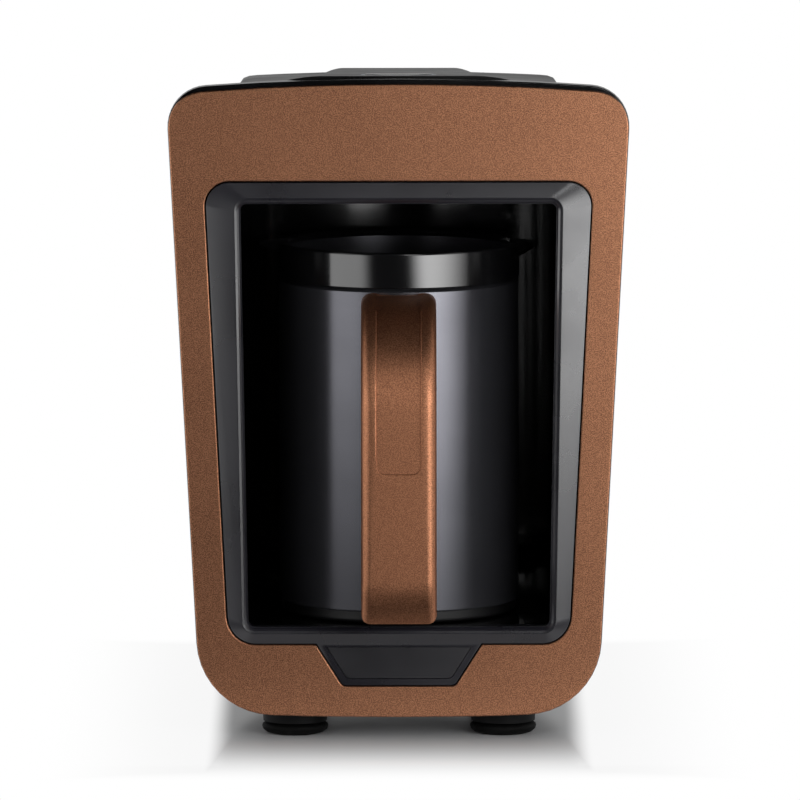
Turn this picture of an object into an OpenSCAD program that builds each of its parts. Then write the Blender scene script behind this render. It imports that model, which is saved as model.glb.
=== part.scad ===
// Electric Turkish coffee maker: a tapered housing with an alcove that holds a handled brewing jug.
// The frame stands on the floor plane z = 0 and its front faces -Y.

/* [Front panel] */
// Width of the front panel just under its top corners
panel_w = 165.8; // [156:0.2:176]
// Height of the front panel at the middle
panel_h = 230.1; // [220:0.1:240]
// Slant of each side of the front panel from upright, in degrees
side_slant = 2.98; // [2.2:0.02:3.2]
// Radius of the top corners of the panel
top_corner_r = 14.4; // [10:0.2:18]
// Radius of the bottom corners of the panel
bottom_corner_r = 27.6; // [22:0.2:32]
// Radius of the arch of the top edge
top_arch_r = 1040; // [600:20:1400]
// Radius of the arch of the bottom edge
bottom_arch_r = 1500; // [1000:100:3000]
// Thickness of the copper-coloured panel
panel_t = 2; // [1.4:0.2:3]

/* [Housing] */
// Depth from the front of the panel to the back of the rear cover
body_d = 171; // [168:1:200]
// Fall of the top towards the rear, in degrees
top_slope = 4.3; // [2:0.1:6]
// Draft of the sides towards the rear, in degrees
side_draft = 1; // [0:0.1:2]
// Height of the panel's lower edge above the floor
ground_gap = 8.3; // [8:0.1:14]
// Rise of the black front frame above the panel's top edge
frame_rise = 1.7; // [1:0.1:3]
// How far the front frame shows around the panel's sides
frame_edge = 0.3; // [0.2:0.1:1]
// Thickness of the front frame's plate
frame_t = 3; // [2:0.25:4]
// Depth of the front frame's skirt behind its plate
frame_skirt = 3; // [2.5:0.5:5]
// Wall of the front frame's skirt
skirt_wall = 2.4; // [1.6:0.2:2.8]
// How far the shell stands in from the frame's outline
shell_inset = 3; // [3:0.1:5]
// Wall of the shell, the base and the rear cover
shell_wall = 2.5; // [2:0.25:3]
// Height of the parting line between base and shell
split_z = 31; // [27:0.5:34]
// Depth of the rounded part of the rear cover
rear_round = 6; // [5:0.5:9]

/* [Alcove and bezel] */
// Width of the bezel at its top
bezel_top_w = 139.7; // [134:0.5:144]
// Width of the bezel at its bottom
bezel_bottom_w = 122.9; // [120:0.5:126]
// Height of the bezel's upper edge above the floor
bezel_top_z = 202.8; // [200:0.1:206]
// Height of the bezel's lower edge above the floor
bezel_bottom_z = 35.3; // [34:0.1:37]
// Corner radius of the bezel
bezel_corner_r = 8.4; // [6:0.2:11]
// Radius of its lower corners
bezel_low_corner_r = 10.2; // [8:0.2:13]
// Width of the opening at its top
mouth_top_w = 114.1; // [110:0.5:114.5]
// Width of the opening at its bottom
mouth_bottom_w = 109; // [107:0.5:112]
// Height of the opening's upper edge above the floor
mouth_top_z = 195.3; // [190:0.1:196]
// Height of the alcove's floor and of the opening's lower edge
alcove_floor_z = 41.4; // [40:0.1:44]
// Corner radius of the opening
mouth_corner_r = 2.4; // [1.5:0.1:5]
// Height of the bezel's crest in front of the panel
bezel_rise = 1.8; // [1:0.1:2.6]
// Width of the rounded lip beside the opening
lip_w = 2.2; // [1.6:0.1:2.6]
// Depth of the step between the bezel's face and the lip
lip_step = 0.3; // [0.2:0.05:0.5]
// Radius of the alcove's round rear wall
alcove_r = 57.4; // [57.4:0.2:60]
// Distance from the panel's front to the jug's axis
jug_axis_depth = 48; // [46:0.5:60]
// Wall of the alcove liner
liner_wall = 2; // [1.6:0.2:2.4]
// Height of the ceiling above the opening's upper edge
ceiling_rise = 1.9; // [1.5:0.1:4]
// Width of the tab under the opening, at its top
tab_top_w = 59.6; // [54:0.2:64]
// Width of the tab at its bottom
tab_bottom_w = 40.4; // [34:0.2:44]
// Height of the tab below the bezel
tab_h = 15.2; // [12:0.2:17]
// Border of the tab around its plate
tab_border = 2.3; // [1.6:0.1:3]
// Depth of the plate's face below the tab's face
plate_sink = 0.4; // [0.2:0.1:0.6]

/* [Top cover] */
// Half width of the top cover
cover_half_w = 58.5; // [56:0.5:62]
// Half width of the console's plateau at the front
ridge_front = 28; // [26:0.5:32]
// Half width of the console's plateau at the rear
ridge_rear = 21; // [19:0.5:24]
// Half width of the console's foot at the front
ridge_foot_front = 42.8; // [38:0.2:46]
// Half width of the console's foot behind its S-shaped sweep
ridge_foot_mid = 28.6; // [27:0.2:32]
// Half width of the console's foot at the rear
ridge_foot_rear = 27; // [25:0.5:31]
// Length of the S-shaped sweep of the console's foot
ridge_sweep = 47; // [40:1:60]
// Height of the plateau's front edge above the panel's top edge
ridge_rise = 2.5; // [2.2:0.1:4]
// Gap between the rear end of the top cover and the rear face
cover_rear_gap = 9; // [8.5:0.5:16]

/* [Start button] */
// Radius of the start button
button_r = 12.2; // [10:0.2:13]
// Distance from the panel's front to the button's axis
button_depth = 34; // [30:1:40]
// Travel of the start button
button_travel = 1.5; // [1:0.1:1.8]
// Height of the button's cap
button_cap_h = 4.5; // [4:0.25:5.5]
// Radius of the button's stem
stem_r = 4; // [3.5:0.25:4.5]
// Width of the light ring
ring_w = 1.5; // [1:0.1:2]
// Radius of the return spring's wire
spring_wire_r = 0.5; // [0.4:0.05:0.6]
// Turns of the return spring
spring_turns = 4; // [3:1:5]

/* [Jug] */
// Radius of the jug's steel wall
jug_r = 43.6; // [41:0.2:44]
// Height of the steel wall's lower edge above the jug's foot
skirt_rise = 4.2; // [2:0.2:5]
// Thickness of the jug's steel wall
jug_wall = 0.9; // [0.7:0.1:1.2]
// Height of the jug's rim above the floor
jug_rim_z = 176.8; // [170:0.2:180]
// Height of the collar band
collar_h = 13.1; // [11:0.1:16]
// How far the collar stands proud of the steel wall
collar_proud = 0.4; // [0.2:0.1:0.8]
// Height of the vessel's inner bottom above the floor
vessel_z = 61; // [58:0.5:64]
// Reach of each pouring spout from the jug's axis
spout_reach = 50.8; // [49:0.2:52]
// Half width of a spout where it leaves the collar
spout_half_w = 9; // [7:0.5:11]
// Depth of a spout below the rim
spout_depth = 8; // [6:0.5:10]

/* [Handle] */
// Width of the handle's copper cover
handle_w = 27.1; // [24:0.1:30]
// How far the handle stands in front of the panel
handle_reach = 37; // [32:0.5:40]
// Drop of the handle's top below the rim of the jug
handle_drop = 14.6; // [14.3:0.1:18]
// Height of the handle's lower end above the alcove's floor
handle_foot_rise = 5.5; // [3:0.5:8]
// Radius of the handle's upper bend
handle_bend_r = 38; // [30:0.5:40]
// Radius of the handle's lower bend
handle_tail_r = 30; // [20:1:34]
// Thickness of the grip, front to back
grip_t = 13; // [11:0.5:15]
// Thickness of the copper cover on the grip
handle_skin = 2.6; // [2:0.2:3.2]
// Thickness of the handle's arms
arm_t = 12; // [10:0.5:13]
// Width of the thumb inset in the cover
inset_w = 15.8; // [12:0.2:18]
// Length of the thumb inset below the handle's top
inset_l = 60.6; // [50:0.2:75]
// Depth of the thumb inset
inset_depth = 0.6; // [0.3:0.1:0.8]
// Rounding of the cover's long front edges
cover_edge_r = 2.8; // [1.5:0.1:4]
// How far the cover's sides wrap round the grip
cover_depth = 7; // [6:0.5:9]

/* [Feet] */
// Radius of a rubber foot
foot_r = 12.05; // [10.5:0.05:13]
// Distance of each foot from the middle plane
foot_x = 37.8; // [35:0.2:42]
// Distance from the panel's front to the front feet
front_foot_depth = 20; // [17:0.5:24]
// Distance from the rear face to the rear feet
rear_foot_gap = 28; // [24:1:36]

/* [Electrics] */
// Radius of the bore for the supply lead
gland_bore_r = 3.4; // [3:0.1:4]
// Radius of the tubular heating element
element_r = 3.2; // [2.8:0.1:3.5]
// Thickness of the circuit boards
board_t = 1.6; // [1.2:0.1:2]

/* [Clearances] */
// Gap between parts that move past each other
gap = 0.3; // [0.25:0.05:0.4]
// Gap around a part that is seated in another
seat = 0.1; // [0.05:0.05:0.2]
// Shadow gap between the panel and the bezel
trim_gap = 0.5; // [0.3:0.05:0.7]

/* [Hidden] */
$fn = 64;
arc_step = 9;       // largest turn, in degrees, between two points of a rounded corner
thin = 0.02;        // thickness of a slice that only carries a section through a hull
eps = 1;            // overshoot of a cut past the face that it opens

// Planes along the depth
y_front = -(body_d + handle_reach) / 2 + handle_reach;
y_back = y_front + body_d;
y_frame = y_front + panel_t;                    // front of the frame's plate
y_frame_back = y_frame + frame_t;
y_skirt_back = y_frame_back + frame_skirt;
y_shell = y_frame_back + gap;
y_rear = y_back - rear_round - 2;               // joint between shell and rear cover
y_cover = y_skirt_back + gap;
y_jug = y_front + jug_axis_depth;

// Heights
panel_bottom = ground_gap;
panel_top = panel_bottom + panel_h;
widest_z = panel_top - top_corner_r - 2;
// The base's flat underside stays above the panel's arch
belly = panel_w * panel_w / 8 / bottom_arch_r * 0.8;
base_z = panel_bottom + shell_inset + belly;    // outside of the base
base_in_z = base_z + shell_wall;
ceiling_z = mouth_top_z + ceiling_rise;

// Fasteners
screw_r = 1.5;
screw_head_r = 2.8;
screw_head_h = 1.8;
post_r = 3.7;

// ---------------------------------------------------------------- outlines

function unit(v) = v / norm(v);

// Points that round the corner b between a and c with the radius r
function round_corner(a, b, c, r) =
    r <= 0 ? [b] :
    let (u = unit(a - b), v = unit(c - b), half = acos(u * v) / 2,
         centre = b + unit(u + v) * r / sin(half),
         from = b + u * r / tan(half) - centre,
         to = b + v * r / tan(half) - centre,
         start = atan2(from.y, from.x),
         swing = atan2(to.y, to.x) - start,
         turn = swing > 180 ? swing - 360 : swing < -180 ? swing + 360 : swing,
         n = max(2, ceil(abs(turn) / arc_step - 0.01)))
    [for (i = [0:n]) centre + r * [cos(start + turn * i / n), sin(start + turn * i / n)]];

// Outline through corners given as [x, z, radius]
function rounded(corners) =
    let (n = len(corners), at = [for (c = corners) [c.x, c.y]])
    [for (i = [0:n - 1]) each round_corner(at[(i + n - 1) % n], at[i], at[(i + 1) % n], corners[i].z)];

// Drop of an arc of radius r below its crown, at the distance x from it
function sag(x, r) = r - sqrt(r * r - x * x);

function half_width(z, inset) =
    panel_w / 2 + (z - widest_z) * tan(side_slant) - inset / cos(side_slant);

// The front outline, moved in by inset, with its top raised by lift and its sides in by narrow;
// arch = 0 makes its lower edge straight
function face_outline(inset = 0, lift = 0, narrow = 0, arch = 1) =
    let (top = panel_top + lift - inset, bottom = panel_bottom + inset,
         xt = half_width(top - sag(panel_w / 2, top_arch_r), inset) - narrow,
         xb = half_width(bottom, inset) - narrow,
         steps = [-0.6, -0.4, -0.2, 0, 0.2, 0.4, 0.6])
    rounded(concat(
        [[-xb, bottom + (arch > 0 ? sag(xb, bottom_arch_r) : belly), bottom_corner_r - inset]],
        [for (s = steps) if (arch > 0) [s * xb * 0.8, bottom + sag(s * xb * 0.8, bottom_arch_r), 0]],
        [[xb, bottom + (arch > 0 ? sag(xb, bottom_arch_r) : belly), bottom_corner_r - inset]],
        [[xt, top - sag(xt, top_arch_r), top_corner_r - inset]],
        [for (s = steps) [-s * xt, top - sag(s * xt, top_arch_r), 0]],
        [[-xt, top - sag(xt, top_arch_r), top_corner_r - inset]]));

// A window that is wider at its top, grown by grow on all sides
function window_outline(top_w, bottom_w, top_z, bottom_z, r, low_r, grow = 0) =
    let (slope = (top_w - bottom_w) / 2 / (top_z - bottom_z),
         xt = top_w / 2 + grow * (1 + slope), xb = bottom_w / 2 + grow * (1 - slope))
    rounded([[-xb, bottom_z - grow, low_r + grow], [xb, bottom_z - grow, low_r + grow],
             [xt, top_z + grow, r + grow], [-xt, top_z + grow, r + grow]]);

function bezel_outline(grow = 0) =
    window_outline(bezel_top_w, bezel_bottom_w, bezel_top_z, bezel_bottom_z, bezel_corner_r,
                   bezel_low_corner_r, grow);

function mouth_outline(grow = 0) =
    window_outline(mouth_top_w, mouth_bottom_w, mouth_top_z, alcove_floor_z, mouth_corner_r,
                   mouth_corner_r, grow);

// The trapezoid tab below the bezel, moved in by inset; it starts root above the bezel's edge
function tab_outline(inset = 0, root = 0) =
    let (lean = (tab_top_w - tab_bottom_w) / 2 / tab_h,
         side = inset * sqrt(1 + lean * lean),
         top = bezel_bottom_z + root, bottom = bezel_bottom_z - tab_h + inset,
         xt = tab_top_w / 2 + root * lean - side,
         xb = tab_bottom_w / 2 + inset * lean - side, r = 2.6)
    rounded([[-xb, bottom, r], [xb, bottom, r], [xt, top, 0], [-xt, top, 0]]);

// Extrudes a section drawn in X and Z from y0 back to y1
module along_y(y0, y1) {
    translate([0, y1, 0]) rotate([90, 0, 0]) linear_extrude(y1 - y0) children();
}

// Extrudes a section drawn in Y and Z over the width w, centred on X = 0
module across_x(w) {
    translate([-w / 2, 0, 0]) rotate([90, 0, 90]) linear_extrude(w) children();
}

module rod_y(r, y0, y1) {
    translate([0, y1, 0]) rotate([90, 0, 0]) cylinder(r = r, h = y1 - y0);
}

// A box from one corner to the opposite one
module block(low, high) {
    translate(low) cube(high - low);
}

// ---------------------------------------------------------------- housing form

// Fall of the top at the plane y
function fall(y) = (y - y_front) * tan(top_slope);

// A slice of the housing at the plane y, moved in by inset from the shell's outside
module body_slice(y, inset) {
    along_y(y, y + thin) polygon(face_outline(shell_inset + inset, frame_rise - fall(y),
        (y - y_front) * tan(side_draft), 0));
}

// The lofted housing between the planes y0 and y1
module body_form(inset, y0, y1) {
    hull() {
        body_slice(y0, inset);
        body_slice(y1 - thin, inset);
    }
}

// All that lies above or below the parting line
module above(z) { block([-panel_w, y_front - eps, z], [panel_w, y_back + eps, panel_top * 2]); }
module below(z) { block([-panel_w, y_front - eps, -eps], [panel_w, y_back + eps, z]); }

// Places that repeat
foot_places = [[-foot_x, y_front + front_foot_depth], [foot_x, y_front + front_foot_depth],
    [-foot_x, y_back - rear_foot_gap], [foot_x, y_back - rear_foot_gap]];

// Screw posts stand under the liner's floor, where the base's flat floor ends
post_x = half_width(base_z, shell_inset) - bottom_corner_r + shell_inset;
post_places = [for (x = [-post_x, post_x], y = [y_front + 42, y_rear - 42]) [x, y]];
post_top = alcove_floor_z - liner_wall - 1;

// Screws of the rear cover
rear_post_z = [split_z + 26, panel_top - 50];
rear_post_x = [for (z = rear_post_z)
    half_width(z, shell_inset + shell_wall) - body_d * tan(side_draft) - post_r - 0.4];

// ---------------------------------------------------------------- front

module front_panel() {
    color("#8a5c46")
    difference() {
        along_y(y_front, y_frame) polygon(face_outline());
        along_y(y_front - eps, y_frame + eps) {
            polygon(bezel_outline(trim_gap));
            polygon(tab_outline(-trim_gap, 4));
        }
    }
}

module front_frame() {
    color("#1b1b1d")
    difference() {
        union() {
            along_y(y_frame, y_frame_back) polygon(face_outline(-frame_edge, frame_rise - frame_edge));
            difference() {
                along_y(y_frame_back, y_skirt_back)
                    polygon(face_outline(-frame_edge, frame_rise - frame_edge));
                along_y(y_frame_back - eps, y_skirt_back + eps)
                    polygon(face_outline(skirt_wall, frame_rise));
            }
        }
        along_y(y_frame - eps, y_frame_back + eps) polygon(bezel_outline(-2.5));
    }
}

module alcove_bezel() {
    crest = y_front - bezel_rise;       // front of the bezel's crest, beside the opening
    color("#232326")
    difference() {
        union() {
            // the face falls away from the crest to the panel
            hull() {
                along_y(crest, crest + thin) polygon(mouth_outline(lip_w + 0.3));
                along_y(y_front, y_front + thin) polygon(bezel_outline());
            }
            along_y(y_front, y_frame) {
                polygon(bezel_outline());
                polygon(tab_outline(0, 4));
            }
            along_y(y_frame, y_frame_back) polygon(bezel_outline(-2.5 - seat));
        }
        // a fine step, then the lip rolls over into the opening
        along_y(crest - eps, crest + lip_step) polygon(mouth_outline(lip_w));
        for (i = [0:len(lip_curve) - 2]) hull() {
            along_y(crest + lip_step + lip_curve[i].x - thin, crest + lip_step + lip_curve[i].x)
                polygon(mouth_outline(lip_curve[i].y));
            along_y(crest + lip_step + lip_curve[i + 1].x, crest + lip_step + lip_curve[i + 1].x + thin)
                polygon(mouth_outline(lip_curve[i + 1].y));
        }
        along_y(y_front - bezel_rise - eps, y_frame_back + eps) polygon(mouth_outline());
        badge_seat(y_front + plate_sink + plate_t_tab, seat);
    }
}

// The lip's quarter round as [depth, distance from the opening]
lip_curve = [for (a = [0, 22, 45, 68]) [lip_w * (1 - cos(a)), lip_w * (1 - sin(a))]];

plate_t_tab = 0.8;                      // thickness of the plate on the tab

// Space that the plate on the tab takes, from the depth y forwards
module badge_seat(y, clear) {
    along_y(y_front - eps, y) polygon(tab_outline(tab_border - clear, -tab_border * 0.6 + clear));
}

module badge_plate() {
    color("#2c2b30")
    along_y(y_front + plate_sink, y_front + plate_sink + plate_t_tab)
        polygon(tab_outline(tab_border, -tab_border * 0.6));
}

// The alcove's plan: a straight mouth that ends in a half round, grown by grow
module alcove_plan(y0, grow) {
    translate([0, y_jug]) circle(r = alcove_r + grow, $fn = 128);
    translate([-alcove_r - grow, y0]) square([2 * (alcove_r + grow), y_jug - y0]);
}

connector_z = [alcove_floor_z + 5, alcove_floor_z + 18];
connector_half_w = 13;

module alcove_liner() {
    y0 = y_frame_back;
    color("#141416")
    difference() {
        union() {
            translate([0, 0, alcove_floor_z - liner_wall])
                linear_extrude(ceiling_z - alcove_floor_z + 2 * liner_wall)
                    intersection() {
                        alcove_plan(y0, liner_wall);
                        translate([-panel_w, y0]) square([2 * panel_w, body_d]);
                    }
            // flange behind the front frame
            along_y(y0, y0 + liner_wall) polygon(bezel_outline(1.5));
        }
        translate([0, 0, alcove_floor_z]) linear_extrude(ceiling_z - alcove_floor_z)
            alcove_plan(y0 - eps, 0);
        // windows for the sensor and the connector
        translate([0, y_jug, ceiling_z - eps]) cylinder(r = sensor_r + seat, h = liner_wall + 2 * eps);
        block([-connector_half_w - seat, y_jug, connector_z[0] - seat],
              [connector_half_w + seat, y_jug + alcove_r + liner_wall + eps, connector_z[1] + seat]);
    }
}

// ---------------------------------------------------------------- shell, base, rear

module body_shell() {
    color("#1a1a1c")
    difference() {
        union() {
            intersection() {
                difference() {
                    body_form(0, y_shell, y_rear);
                    body_form(shell_wall, y_shell - thin, y_rear + thin);
                }
                above(split_z + gap);
            }
            for (p = post_places) {
                translate([p.x, p.y, split_z + gap]) cylinder(r = post_r, h = post_top - split_z - gap);
                reach = half_width(split_z, shell_inset + shell_wall / 2) - p.x * sign(p.x)
                    - (p.y - y_front) * tan(side_draft);
                block([p.x > 0 ? p.x : p.x - reach, p.y - 1.5, split_z + gap],
                      [p.x > 0 ? p.x + reach : p.x, p.y + 1.5, post_top]);
            }
            for (i = [0, 1], s = [-1, 1]) rear_post(s * rear_post_x[i], rear_post_z[i], s);
        }
        for (p = post_places)
            translate([p.x, p.y, 0]) cylinder(r = screw_r + seat, h = post_top - 1);
        for (i = [0, 1], s = [-1, 1])
            translate([s * rear_post_x[i], 0, rear_post_z[i]])
                rod_y(screw_r + seat, y_rear - 12, y_rear + eps);
        // opening under the top cover
        block([-cover_half_w + 8, y_cover + 5, panel_top - 60],
              [cover_half_w - 8, y_back - 40, panel_top + 20]);
    }
}

// A post that takes a screw of the rear cover, tied to the side wall
module rear_post(x, z, side) {
    reach = half_width(z, shell_inset + shell_wall / 2) - side * x - (y_rear - y_front) * tan(side_draft);
    translate([x, 0, z]) rod_y(post_r, y_rear - 14, y_rear - gap);
    block([side > 0 ? x : x - reach, y_rear - 14, z - 1.5],
          [side > 0 ? x + reach : x, y_rear - gap, z + 1.5]);
}

module base_plate() {
    color("#19191b")
    difference() {
        union() {
            intersection() {
                difference() {
                    body_form(0, y_shell, y_rear);
                    body_form(shell_wall, y_shell + shell_wall, y_rear + thin);
                }
                below(split_z);
            }
            for (p = post_places)
                translate([p.x, p.y, base_in_z - 1])
                    cylinder(r = post_r + 0.8, h = split_z - base_in_z + 0.8);
            // pads that carry the feet
            for (p = foot_places) {
                translate([p.x, p.y, 4.6])
                    cylinder(r1 = foot_r - 0.5, r2 = foot_r + 0.6, h = base_in_z - 3.6);
            }
        }
        for (p = foot_places)
            translate([p.x, p.y, 0]) cylinder(r = foot_neck_r + seat, h = base_in_z + 10);
        for (p = post_places) {
            translate([p.x, p.y, 0]) cylinder(r = screw_r + seat, h = split_z + eps);
            translate([p.x, p.y, 0])
                cylinder(r = screw_head_r + gap, h = base_screw_z + screw_head_h + seat);
        }
        // air slots in the floor
        for (i = [-4:4])
            block([i * 9 - 1.5, y_jug - 8, base_z - eps], [i * 9 + 1.5, y_jug + 44, base_in_z + eps]);
    }
}

module rear_cover() {
    color("#19191b")
    difference() {
        union() {
            difference() {
                hull() {
                    body_slice(y_rear, 0);
                    body_slice(y_back - rear_round, 0);
                    body_slice(y_back - rear_round * 0.3, rear_round * 0.29);
                    body_slice(y_back - thin, rear_round);
                }
                body_form(shell_wall, y_rear - eps, y_back - shell_wall);
            }
            // pads behind the screw heads, and posts that carry the power board
            for (i = [0, 1], s = [-1, 1])
                translate([s * rear_post_x[i], 0, rear_post_z[i]])
                    rod_y(post_r, y_rear, y_back - shell_wall);
            for (x = board_post_x, z = board_post_z)
                translate([x, 0, z]) rod_y(post_r, power_board_y + board_t, y_back - shell_wall);
        }
        for (i = [0, 1], s = [-1, 1])
            translate([s * rear_post_x[i], 0, rear_post_z[i]]) {
                rod_y(screw_r + seat, y_rear - eps, y_back + eps);
                rod_y(screw_head_r + gap, y_back - rear_screw_sink, y_back + eps);
            }
        for (x = board_post_x, z = board_post_z)
            translate([x, 0, z]) rod_y(screw_r + seat, power_board_y, y_back - shell_wall - 4);
        // two banks of air slots
        for (i = [0:vent_rows - 1], s = [-1, 1])
            block([s * vent_x - vent_half_w, y_rear, vent_z + i * vent_pitch],
                  [s * vent_x + vent_half_w, y_back + eps, vent_z + i * vent_pitch + vent_w]);
        translate([gland_x, 0, gland_z]) rod_y(gland_r + seat, y_rear, y_back + eps);
    }
}

vent_rows = 7;
vent_pitch = 6;
vent_w = 2.4;
vent_half_w = 17;
vent_x = vent_half_w + 10;
vent_z = panel_top - 94;
rear_screw_sink = 5;
gland_x = 38;
gland_z = split_z - 1;
gland_r = 6;

module cord_gland() {
    color("#101010")
    difference() {
        union() {
            translate([gland_x, 0, gland_z]) rod_y(gland_r, y_back - shell_wall - 5, y_back + 0);
            translate([gland_x, 0, gland_z])
                rod_y(gland_r + 1.6, y_back - shell_wall - 3, y_back - shell_wall - seat);
        }
        translate([gland_x, 0, gland_z]) rod_y(gland_bore_r, y_back - shell_wall - 6, y_back + eps);
    }
}

foot_neck_r = 2.9;
base_screw_z = base_z + 3.5;      // underside of the base screws' heads

// A rubber foot: a flat tread, a rounded lip, and a neck that snaps through the base
module foot(p) {
    color("#151515")
    translate([p.x, p.y, 0]) rotate_extrude()
        polygon([[0, 0], [foot_r - 3.4, 0], [foot_r - 1.6, 0.5], [foot_r - 0.4, 1.5], [foot_r, 2.6],
            [foot_r - 0.2, 3.3], [foot_r - 0.9, 3.8], [foot_r - 3, 4.6 - seat], [foot_neck_r, 4.6 - seat],
            [foot_neck_r, base_in_z + 1 + seat], [foot_neck_r + 1.4, base_in_z + 1 + seat],
            [foot_neck_r - 0.6, base_in_z + 5], [0, base_in_z + 5]]);
}

module base_screws() {
    color("silver")
    for (p = post_places) translate([p.x, p.y, base_screw_z]) {
        cylinder(r = screw_head_r, h = screw_head_h);
        cylinder(r = screw_r, h = post_top - 2 - base_screw_z);
    }
}

module rear_screws() {
    color("silver")
    for (i = [0, 1], s = [-1, 1]) translate([s * rear_post_x[i], 0, rear_post_z[i]]) {
        rod_y(screw_head_r, y_back - rear_screw_sink, y_back - rear_screw_sink + screw_head_h);
        rod_y(screw_r, y_rear - 10, y_back - rear_screw_sink);
    }
}

// ---------------------------------------------------------------- top cover and controls

// Height of the plateau at the plane y
function plateau(y) = panel_top + ridge_rise - (y - y_front - 6) * tan(top_slope);

y_cover_rear = y_back - cover_rear_gap;
cover_l = y_cover_rear - y_cover;
edge_r = 2.2;                           // height of the rounding of the cover's long edges
edge_w = 6;                             // width of that rounding
y_button = y_front + button_depth;
button_z = plateau(y_button);           // the plateau at the button's axis
tube_r = button_r + gap + ring_w + 1.6;
tube_h = 14;                            // depth of the guide below the plateau
shelf_t = 2;
board_z = button_z - 22;                // top of the control board
board_half = [34, 25];
board_y = y_button + 5;

// Height of the cover's shoulders at the plane y, the distance x from the middle
function shoulder(x, y) = panel_top + frame_rise - fall(y) - sag(x, top_arch_r);

// Half widths of the console's foot and plateau at the plane y
function ridge_foot(y) =
    let (d = y - y_cover, t = min(1, d / ridge_sweep),
         u = max(0, d - ridge_sweep) / (cover_l - ridge_sweep))
    ridge_foot_front + (ridge_foot_mid - ridge_foot_front) * t * t * (3 - 2 * t)
        + (ridge_foot_rear - ridge_foot_mid) * u;
function ridge_flat(y) = ridge_front + (ridge_rear - ridge_front) * (y - y_cover) / cover_l;

// One half of the cover's section at the plane y, as [x, z] from the edge to the middle
function half_section(y) =
    let (foot = ridge_foot(y), flat = ridge_flat(y))
    concat(
        [for (a = [0, 30, 60, 90])
            [cover_half_w - edge_w * (1 - cos(a)),
             shoulder(cover_half_w - edge_w, y) - edge_r * (1 - sin(a))]],
        [[(cover_half_w + foot) / 2, shoulder((cover_half_w + foot) / 2, y)]],
        [for (i = [0:5]) let (t = i / 5, x = foot + (flat - foot) * t, s = 1 - pow(1 - t, 1.6))
            [x, shoulder(x, y) * (1 - s) + plateau(y) * s]],
        [[flat / 2, plateau(y)]]);

// The whole section as columns of [x, top, bottom]; its underside rests on the shell
function cover_columns(y) =
    let (half = half_section(y), n = len(half), low = shell_inset - seat)
    concat([for (p = half) [-p.x, p.y, shoulder(p.x, y) - low]],
           [for (i = [n - 1:-1:0]) [half[i].x, half[i].y, shoulder(half[i].x, y) - low]]);

// Lofts through the cover's sections at the planes ys
module column_loft(ys) {
    rows = [for (y = ys) cover_columns(y)];
    n = len(rows[0]);
    last = n - 1;
    end = len(ys) - 1;
    points = [for (k = [0:end]) each concat([for (c = rows[k]) [c.x, ys[k], c.y]],
                                            [for (c = rows[k]) [c.x, ys[k], c.z]])];
    m = 2 * n * end;
    quads = concat(
        [for (i = [0:last - 1]) [i, i + 1, n + i + 1, n + i]],
        [for (i = [0:last - 1]) [m + i + 1, m + i, m + n + i, m + n + i + 1]],
        [for (k = [0:end - 1]) each let (a = 2 * n * k, b = a + 2 * n) concat(
            [for (i = [0:last - 1]) [b + i, b + i + 1, a + i + 1, a + i]],
            [for (i = [0:last - 1]) [a + n + i, a + n + i + 1, b + n + i + 1, b + n + i]],
            [[a, a + n, b + n, b], [a + last, b + last, b + n + last, a + n + last]])]);
    polyhedron(points = points,
        faces = [for (q = quads) each [[q[0], q[1], q[2]], [q[0], q[2], q[3]]]]);
}

module top_cover() {
    color("#1d1d20")
    difference() {
        union() {
            column_loft([for (t = [0, 0.2, 0.4, 0.6, 0.8, 1]) y_cover + t * ridge_sweep, y_cover_rear]);
            // guide for the button, and posts that carry the control board
            translate([0, y_button, button_z - tube_h]) cylinder(r = tube_r, h = tube_h - 1);
            for (p = board_posts) translate([p.x, p.y, board_z])
                cylinder(r = 3, h = plateau(p.y) - board_z - 3);
        }
        translate([0, y_button, button_z - 5]) cylinder(r = button_r + gap + ring_w + seat, h = 20);
        translate([0, y_button, button_z - tube_h + shelf_t]) cylinder(r = button_r + gap, h = 20);
        translate([0, y_button, button_z - tube_h - eps]) cylinder(r = stem_r + gap, h = 20);
        for (p = board_posts) translate([p.x, p.y, board_z - eps]) cylinder(r = screw_r + seat, h = 9);
    }
}

board_posts = [for (x = [-board_half.x + 4, board_half.x - 4], y = [-board_half.y + 4, board_half.y - 4])
    [x, board_y + y]];

// What lies below the sloping plateau, raised by rise
module under_plateau(rise) {
    across_x(panel_w) polygon([[y_cover, plateau(y_cover) + rise], [y_cover, 0],
        [y_cover_rear, 0], [y_cover_rear, plateau(y_cover_rear) + rise]]);
}

module light_ring() {
    color("#c9d6dd")
    intersection() {
        difference() {
            translate([0, y_button, button_z - 5 + seat]) cylinder(r = button_r + gap + ring_w, h = 10);
            translate([0, y_button, button_z - 6]) cylinder(r = button_r + gap, h = 12);
        }
        under_plateau(0);
    }
}

clip_z = button_z - tube_h - gap;       // top of the clip
module start_button() {
    color("#222225")
    difference() {
        union() {
            intersection() {
                translate([0, y_button, button_z - button_cap_h]) cylinder(r = button_r, h = 10);
                under_plateau(0.25);
            }
            translate([0, y_button, board_z + 3.4 + button_travel + 0.1])
                cylinder(r = stem_r, h = button_z - button_cap_h - board_z - 3.4 - button_travel);
        }
        // groove for the clip
        translate([0, y_button, clip_z - 0.8 - seat]) difference() {
            cylinder(r = stem_r + 1, h = 0.8 + 2 * seat);
            translate([0, 0, -1]) cylinder(r = stem_r - 0.8, h = 4);
        }
        // thumb hollow in the cap
        translate([0, y_button, button_z + 57.6]) sphere(r = 58, $fn = 96);
    }
}

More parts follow.
